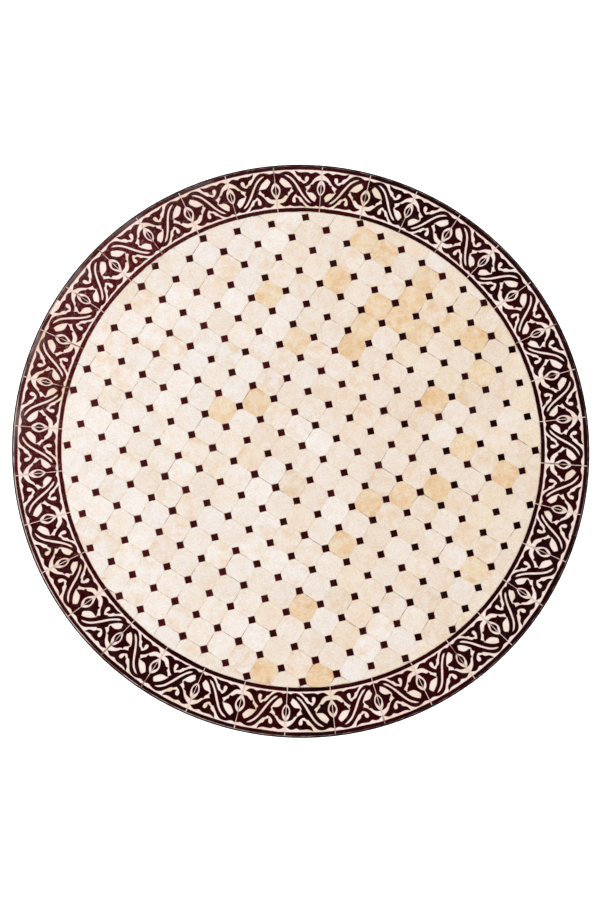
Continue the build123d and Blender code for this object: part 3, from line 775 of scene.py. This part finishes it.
# These are in millimetres too, as the motif is.
TILE_WIDTH = 96.0  # at the middle of the border
OUTLINE_STEP = 2.6  # between the points of a smooth stretch
STRAIGHT_STEP = 8.0  # and of a straight one
CORNER_PULL = 0.8  # how straight a stretch leaves a sharp corner; 1 is straight
DRAWN_RADII = (10.0, 84.0)  # the motif's inner and outer limits as drawn
LAID_RADII = (510.9, 585.0)  # and where they lie on the table
OUTER_BAND = (588.9, 595.4)
INNER_BAND = (498.4, 506.4)
BAND_STEP = 5.0
BAND_OVERRUN = 1.1  # how much further out the outer band runs where the rim is rusty
SPREAD = 0.95  # by how much the glaze ran out beyond the drawn line
GROOVE_SPREAD = -0.4  # the scraped groove is wider than drawn
GLAZE_MARGIN = 0.6  # how far the glaze stops short of the joint's middle
# The glaze's edge from its foot to its face: how far each ring is drawn in, in millimetres, how
# far it lies under the face, and how thin the glaze is there.
GLAZE_EDGE = (
    (0.0, GROUND_DEPTH + 0.2 * MM, 1.0),
    (0.0, 0.3 * MM, 1.0),
    (0.17, 0.07 * MM, 0.6),
    (0.42, 0.0, 0.0),
)
BAND_ENDS = (0.01, 0.99)  # shares of the tile's width
BARE_BAND = {29: (0.31, 0.63)}  # the stretch of outer band that has lost its glaze, by tile
CLEAN_RIM = 205  # the direction in which the mortar beside the hoop is least rusty
RED_SHEEN_SIDE = 158  # the direction in which the border's glaze is reddest and its painted sheen strongest


def towards(turn, direction):
    """1 where an angle points in the direction, down to 0 at right angles to it."""
    return max(0.0, math.cos(math.radians(turn - direction)))


def smooth_outline(marked):
    """A closed outline through given points: smooth between its sharp corners."""
    stretch = (LAID_RADII[1] - LAID_RADII[0]) / (DRAWN_RADII[1] - DRAWN_RADII[0])
    points = [
        Vector((p[0] * TILE_WIDTH, LAID_RADII[0] + (p[1] - DRAWN_RADII[0]) * stretch))
        for p in marked
    ]
    sharp = [len(p) > 2 for p in marked]
    count = len(points)
    outline = []
    for k in range(count):
        p0, p1, p2, p3 = (points[(k + n) % count] for n in (-1, 0, 1, 2))
        sharp_start, sharp_end = sharp[k], sharp[(k + 1) % count]
        chord = p2 - p1
        out = chord * CORNER_PULL if sharp_start else (p2 - p0) / 2
        into = chord * CORNER_PULL if sharp_end else (p3 - p1) / 2
        step = STRAIGHT_STEP if sharp_start and sharp_end else OUTLINE_STEP
        steps = max(1, round(chord.length / step))
        for n in range(steps):
            t = n / steps
            a, b = 2 * t**3 - 3 * t**2 + 1, t**3 - 2 * t**2 + t
            c, d = -2 * t**3 + 3 * t**2, t**3 - t**2
            outline.append(p1 * a + out * b + p2 * c + into * d)
    return outline


def band_outline(low, high, start, end, rng):
    """A stretch of glazed band whose edges waver as a brush leaves them."""
    steps = max(2, round((end - start) * TILE_WIDTH / BAND_STEP))
    along = [start + (end - start) * n / steps for n in range(steps + 1)]
    inner = [Vector((u * TILE_WIDTH, low + rng.uniform(-0.25, 0.25))) for u in along]
    outer = [Vector((u * TILE_WIDTH, high + rng.uniform(-0.3, 0.15))) for u in reversed(along)]
    return inner + outer


def frieze_joint(index):
    """Direction of a border joint, which counts clockwise seen from above."""
    clockwise = 360 / FRIEZE_TILES * index
    return FRIEZE_START - clockwise - FRIEZE_DRIFT * math.cos(math.radians(clockwise))


def on_ring(index, share, radius):
    """The point of a border tile at a share of its width; every second tile is mirrored."""
    share = 1 - share if index % 2 else share
    turn = math.radians(frieze_joint(index) * (1 - share) + frieze_joint(index + 1) * share)
    return radius * math.cos(turn), radius * math.sin(turn)


def add_relief(shape, index, outlines, tint, top, wear, shift=0.0):
    """Raised glaze over an outline and its holes: walls, a rounded shoulder and a level top."""
    tops, flat = [], []
    for outline in outlines:
        rings = []
        for inset, drop, thin in GLAZE_EDGE:
            margin = GLAZE_MARGIN + inset
            placed = []
            for p in drawn_in(outline, inset):
                share = min(TILE_WIDTH - margin, max(margin, p.x)) / TILE_WIDTH
                x, y = on_ring(index, share, (p.y + shift) * MM)
                placed.append((x, y, top - drop))
            rings.append(shape.add_ring(placed, tint, thin=thin, wear=wear))
        shape.tube(rings)
        tops += rings[-1]
        flat.append([Vector((p.x, p.y, 0)) for p in drawn_in(outline, inset)])
    for triangle in tessellate_polygon(flat):
        shape.add_flat(tops[k] for k in triangle)


def make_frieze_glaze():
    """The raised glaze of the border; returns the motif's outlines as drawn."""
    vine = smooth_outline(VINE)
    groove = smooth_outline(GROOVE)
    buds = [smooth_outline(bud) for bud in BUDS]
    hole = drawn_in(anticlockwise(groove)[::-1], -GROOVE_SPREAD)
    motif = [[drawn_in(anticlockwise(vine), -SPREAD), hole]]
    motif += [[drawn_in(anticlockwise(bud), -SPREAD)] for bud in buds]
    rng = random.Random(23)
    shape = Shape("thin", "wear")
    for index in range(FRIEZE_TILES):
        # The nearer a tile lies to that direction, the redder its glaze and the stronger the painted
        # sheen it is given.
        weight = towards(frieze_joint(index), RED_SHEEN_SIDE) ** 2
        redness = min(1.0, 0.1 + 0.22 * rng.random() ** 2 + 0.65 * weight)
        tint = between(colour("120001"), colour("661216"), redness)
        top, shift = TABLE_TOP - rng.uniform(0.0, 0.15) * MM, rng.uniform(-0.5, 0.5)
        wear = 1.1 * weight
        for outlines in motif:
            add_relief(shape, index, outlines, tint, top, wear, shift)
        rusty = 1 - towards(frieze_joint(index), CLEAN_RIM) ** 2
        low, high = OUTER_BAND[0], OUTER_BAND[1] + BAND_OVERRUN * rusty
        start, end = BAND_ENDS
        ends = (start, *BARE_BAND.get(index, ()), end)
        bands = [(*INNER_BAND, start, end)]
        bands += [(low, high, *stretch) for stretch in zip(ends[::2], ends[1::2])]
        for band in bands:
            add_relief(shape, index, [anticlockwise(band_outline(*band, rng))], tint, top, wear)
    piece = shape.build("frieze_glaze", MATERIALS["dark"])
    face_up(piece)
    place(piece, "top", "frieze_glaze", "frieze_tiles")
    return [vine, groove, *buds]


def face_up(piece):
    """Turn every closed shell of a piece right side out."""
    work = bmesh.new()
    work.from_mesh(piece.data)
    bmesh.ops.recalc_face_normals(work, faces=work.faces)
    work.to_mesh(piece.data)
    work.free()


GROUND_STEPS = 34
GROUND_WOBBLE = 0.1 * MM
GROUND_GRAIN = 160  # waves of it per metre
GROUND_EDGE = 0.15 * MM  # the drop at the edges of a tile's ground
STAIN_REACH = 2.2  # millimetres over which the glaze's stain on the clay fades
STAIN_STEP = 4  # millimetres between the points of a band that stain


def make_frieze_clay(outlines):
    """The clay bodies of the border tiles, with a scraped, slightly uneven ground."""
    last = GROUND_STEPS
    edge_points = [p for outline in outlines for p in outline[::2]]
    along = range(0, int(TILE_WIDTH) + 1, STAIN_STEP)
    edge_points += [Vector((x, radius)) for x in along for radius in (*INNER_BAND, *OUTER_BAND)]
    inner, outer, margin = FRIEZE_INNER / MM, FRIEZE_OUTER / MM, CLAY_MARGIN / MM
    radii = [inner + margin + (outer - inner) * n / last for n in range(last)]
    radii.append(outer - margin)
    stains = {}
    for a in range(last + 1):
        for b, radius in enumerate(radii):
            here = Vector((TILE_WIDTH * a / last, radius))
            near = min((here - p).length_squared for p in edge_points) ** 0.5
            stains[a, b] = math.exp(-near / STAIN_REACH)
    shape = Shape("stain")
    rng = random.Random(31)
    for index in range(FRIEZE_TILES):
        tint = between(colour("FFFFFF"), colour("F8E8D6"), rng.random() ** 2 * 0.8)
        ids = {}
        for a in range(last + 1):
            for b, radius in enumerate(radii):
                inset = math.degrees(FRIEZE_JOINT / 2 / (radius * MM)) / (360 / FRIEZE_TILES)
                share = inset + (1 - 2 * inset) * a / last
                x, y = on_ring(index, share, radius * MM)
                wobble = GROUND_WOBBLE * noise.noise(Vector((x, y, index)) * GROUND_GRAIN)
                edge = GROUND_EDGE if {a, b} & {0, last} else 0
                z = TABLE_TOP - GROUND_DEPTH + wobble - edge
                ids[a, b] = shape.add_point((x, y, z), tint, stain=stains[a, b])
        for a in range(last):
            for b in range(last):
                shape.faces.append((ids[a, b], ids[a + 1, b], ids[a + 1, b + 1], ids[a, b + 1]))
        around = [(a, 0) for a in range(last)] + [(last, b) for b in range(last)]
        around += [(a, last) for a in range(last, 0, -1)] + [(0, b) for b in range(last, 0, -1)]
        rim = [ids[corner] for corner in around]
        foot = shape.add_ring([(*shape.points[k][:2], TILE_BED) for k in rim], tint, stain=0.3)
        shape.tube([foot, rim])
        shape.faces.append(tuple(reversed(foot)))
    piece = shape.build("frieze_clay", MATERIALS["clay"])
    face_up(piece)
    place(piece, "top", "frieze_glaze")


# How far the mortar lies under the tiles' faces, and what it is built from.
FIELD_JOINT_DEPTH = 0.35 * MM
JOINT_DEPTH = 0.3 * MM  # in the border's joints
BORDER_BED_DEPTH = GROUND_DEPTH + 0.3 * MM
RIM_DEPTH = 0.25 * MM  # beside the hoop
RIM_MORTAR = 6 * MM  # width of the rusty strip by the hoop
CLEANED = 0.85  # how much less rusty it is in the direction of CLEAN_RIM
JOINT_FOOT = GROUND_DEPTH + 0.6 * MM
JOINT_REACH = 0.58 * FRIEZE_JOINT  # from the joint's middle to just inside the clay
JOINT_STATIONS = 24
MORTAR_SPOKES = 240
MORTAR_RINGS = 64
MORTAR_WOBBLE = 0.12 * MM
MORTAR_GRAIN = 90


def mortar_height(x, y, depth):
    wobble = MORTAR_WOBBLE * noise.noise(Vector((x, y, 0)) * MORTAR_GRAIN)
    return TABLE_TOP - depth + wobble


def add_joint(shape, index):
    """The mortar that stands in one joint of the border."""
    turn = math.radians(frieze_joint(index))
    out = Vector((math.cos(turn), math.sin(turn)))
    half = Vector((-out.y, out.x)) * JOINT_REACH
    foot = TABLE_TOP - JOINT_FOOT
    rings = []
    for n in range(JOINT_STATIONS + 1):
        radius = FRIEZE_INNER + (FRIEZE_OUTER - FRIEZE_INNER) * n / JOINT_STATIONS
        near, far = out * radius - half, out * radius + half
        height = mortar_height(*near, JOINT_DEPTH)
        corners = [(*near, foot), (*far, foot), (*far, height), (*near, height)]
        rings.append(shape.add_ring(corners, border=1))
    shape.tube(rings)
    shape.faces += [tuple(reversed(rings[0])), tuple(rings[-1])]


def mortar_radii():
    """Even rings, and close pairs where the mortar steps down and up."""
    even = [MORTAR_HIGH.x * (n + 1) / MORTAR_RINGS for n in range(MORTAR_RINGS)]
    inner_step = [FRIEZE_INNER, FRIEZE_INNER + 0.2 * MM]
    outer_step = [FRIEZE_OUTER - 0.3 * MM, FRIEZE_OUTER + 0.1 * MM]
    return sorted(even + inner_step + outer_step)


def make_mortar():
    """The bed, and the mortar in the joints of the field and the border."""
    shape = Shape("rust", "border")
    rings = []
    for radius in mortar_radii():
        in_border = radius > FRIEZE_INNER
        in_rim = radius > FRIEZE_OUTER - RIM_MORTAR
        depth = BORDER_BED_DEPTH if in_border else FIELD_JOINT_DEPTH
        if radius > FRIEZE_OUTER:
            depth = RIM_DEPTH
        ring = []
        for k in range(MORTAR_SPOKES):
            turn = math.tau * k / MORTAR_SPOKES
            x, y = radius * math.cos(turn), radius * math.sin(turn)
            rust = 1 - CLEANED * towards(math.degrees(turn), CLEAN_RIM) ** 2 if in_rim else 0
            point = (x, y, mortar_height(x, y, depth))
            ring.append(shape.add_point(point, rust=rust, border=float(in_border)))
        rings.append(ring)
    shape.fan(rings[0], shape.add_point((0, 0, TABLE_TOP - FIELD_JOINT_DEPTH)))
    rings.append(shape.add_ring([(*shape.points[k][:2], MORTAR_LOW.z) for k in rings[-1]]))
    shape.tube(rings)
    shape.faces.append(tuple(rings[-1]))
    for index in range(FRIEZE_TILES):
        add_joint(shape, index)
    piece = shape.build("mortar_joints", MATERIALS["mortar"])
    face_up(piece)
    place(piece, "top", "cement", "mortar_bed")


make_octagons()
make_cabochons()
make_frieze_clay(make_frieze_glaze())
make_mortar()


# ======== the carried-over nodes ========

SIDES = ("east", "west", "north", "south")
FRAMES = ("a", "b")
WELD_REACH = 0.01 * MM
SHARP_EDGE = math.radians(40)
HAMMER_GRID = 1.8 * MM  # of the surface that the dents are pressed into
HAMMER_DEPTH = 0.7 * MM
HAMMER_SIZE = 13 * MM


def each(stem, ends):
    return [f"{stem}_{end}" for end in ends]


HAMMERED = each("leg", SIDES) + each("scroll", SIDES) + each("collars", FRAMES)
HAMMERED += each("top_arm", FRAMES) + each("stretcher", FRAMES)
TURNED = [*each("waist_hub", FRAMES), "pivot_rod", "rod_rings", "finial", *each("foot_bushes", FRAMES)]
# The nodes of each material, and the width to which their edges are rounded.
CARRIED = (
    ("iron", 0, HAMMERED),
    ("iron", 0.8 * MM, TURNED),
    ("hoop", 0.6 * MM, ["rim_hoop"]),
    ("cement", 0, ["cement_slab"]),
    ("bare", 0, ["cross_bars_lower", "cross_bars_upper"]),
    ("brass", 0, ["washers"]),
    ("rubber", 0.8 * MM, each("top_pads", FRAMES)),
    ("steel", 0.4 * MM, each("foot_stud", SIDES)),
    ("plastic", 0.8 * MM, each("foot_glide", SIDES)),
)


def add_modifier(piece, kind, **settings):
    modifier = piece.modifiers.new(kind.lower(), kind)
    for name, value in settings.items():
        setattr(modifier, name, value)


def dress(piece, material, rounding):
    """Give a CAD node its material, and round its edges."""
    piece.data.materials.clear()
    piece.data.materials.append(material)
    if rounding:
        add_modifier(piece, "WELD", merge_threshold=WELD_REACH)
        limits = {"limit_method": "ANGLE", "angle_limit": SHARP_EDGE}
        add_modifier(piece, "BEVEL", width=rounding, segments=2, **limits)
        add_modifier(piece, "WEIGHTED_NORMAL")


def hammer(piece, dents):
    """Soften the edges of a bar and press shallow dents into it, as forging does."""
    add_modifier(piece, "WELD", merge_threshold=WELD_REACH)
    add_modifier(piece, "REMESH", mode="VOXEL", voxel_size=HAMMER_GRID, use_smooth_shade=True)
    add_modifier(piece, "SMOOTH", factor=0.5, iterations=2)
    pressed = {"texture": dents, "strength": HAMMER_DEPTH, "mid_level": 0.6}
    add_modifier(piece, "DISPLACE", texture_coords="LOCAL", **pressed)


def dress_carried_nodes():
    dents = bpy.data.textures.new("hammer_dents", "VORONOI")
    dents.noise_scale = HAMMER_SIZE
    dents.distance_metric = "DISTANCE"
    for look, rounding, names in CARRIED:
        for name in names:
            dress(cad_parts[name], MATERIALS[look], rounding)
    for name in HAMMERED:
        hammer(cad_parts[name], dents)


dress_carried_nodes()


# ======== floor and light ========


FLOOR_REACH = 60.0
# Between these heights, as sines of the elevation, the sky's strength falls as given.
SKY_HEIGHTS = (0.55, 0.93)
SKY_STRENGTHS = (1.12, 0.005)
SOFTBOX_SIZE = (2.2, 2.2)
SOFTBOX_AIM = (0, 0, 0.6)
SOFTBOXES = {  # where each hangs, and its power
    "south": ((0.6, -3.2, 3.2), 35),
    "north": ((-0.6, 3.2, 3.2), 32),
    "east": ((3.2, 0.6, 3.0), 21),
    "west": ((-3.2, 0.0, 3.0), 48),
}
# Small lamps on an arc overhead give the sheens on the border in the north-west.
PANE_ARC_MIDDLE = (0.08, 0.28)
PANE_ARC_RADIUS = 0.945
PANE_DIRECTIONS = (116, 132, 148, 164, 180)
PANE_HEIGHT = 2.9
PANE_SIZE = (0.24, 0.045)
PANE_POWER = 0.12


def make_floor():
    """A plain pale floor, large enough to fill every view."""
    shape = Shape()
    corners = [(-1, -1), (1, -1), (1, 1), (-1, 1)]
    ring = shape.add_ring([(x * FLOOR_REACH, y * FLOOR_REACH, 0) for x, y in corners])
    shape.add_flat(ring)
    look = Look("floor_look", roughness=0.9, Specular_IOR_Level=0.1)
    tone = look.patches(400 * MM, 0.3, 0.7, detail=2)
    look.colour_from(look.mix(tone, colour("F7F7F7"), colour("FAFAFA")))
    look.shader.inputs["Emission Color"].default_value = (1, 1, 1, 1)
    look.shader.inputs["Emission Strength"].default_value = 0.6
    floor = shape.build("floor", look.material)


def make_light(name, where, aim, size, power):
    data = bpy.data.lights.new(name, "AREA")
    data.shape = "RECTANGLE"
    data.size, data.size_y = size
    data.energy = power
    ahead = Vector(aim) - Vector(where)
    add_object(name, data, where, ahead.to_track_quat("-Z", "Y"))


def make_world():
    """Soft light from all sides, dimmer overhead so that the glaze doesn't mirror it."""
    world = bpy.data.worlds.new("studio")
    world.use_nodes = True
    nodes, links = world.node_tree.nodes, world.node_tree.links
    where = nodes.new("ShaderNodeTexCoord")
    parts = nodes.new("ShaderNodeSeparateXYZ")
    links.new(where.outputs["Generated"], parts.inputs["Vector"])
    ramp = nodes.new("ShaderNodeMapRange")
    for socket, number in zip(RANGE_SOCKETS, (*SKY_HEIGHTS, *SKY_STRENGTHS)):
        ramp.inputs[socket].default_value = number
    links.new(parts.outputs["Z"], ramp.inputs["Value"])
    links.new(ramp.outputs["Result"], nodes["Background"].inputs["Strength"])
    nodes["Background"].inputs["Color"].default_value = (1, 1, 1, 1)
    scene.world = world


def make_lights():
    for side, (where, power) in SOFTBOXES.items():
        make_light(f"softbox_{side}", where, SOFTBOX_AIM, SOFTBOX_SIZE, power)
    for direction in PANE_DIRECTIONS:
        turn = math.radians(direction)
        x = PANE_ARC_MIDDLE[0] + PANE_ARC_RADIUS * math.cos(turn)
        y = PANE_ARC_MIDDLE[1] + PANE_ARC_RADIUS * math.sin(turn)
        where = (x, y, PANE_HEIGHT)
        make_light(f"window_pane_{direction}", where, (0, 0, TABLE_TOP), PANE_SIZE, PANE_POWER)


make_floor()
make_world()
make_lights()
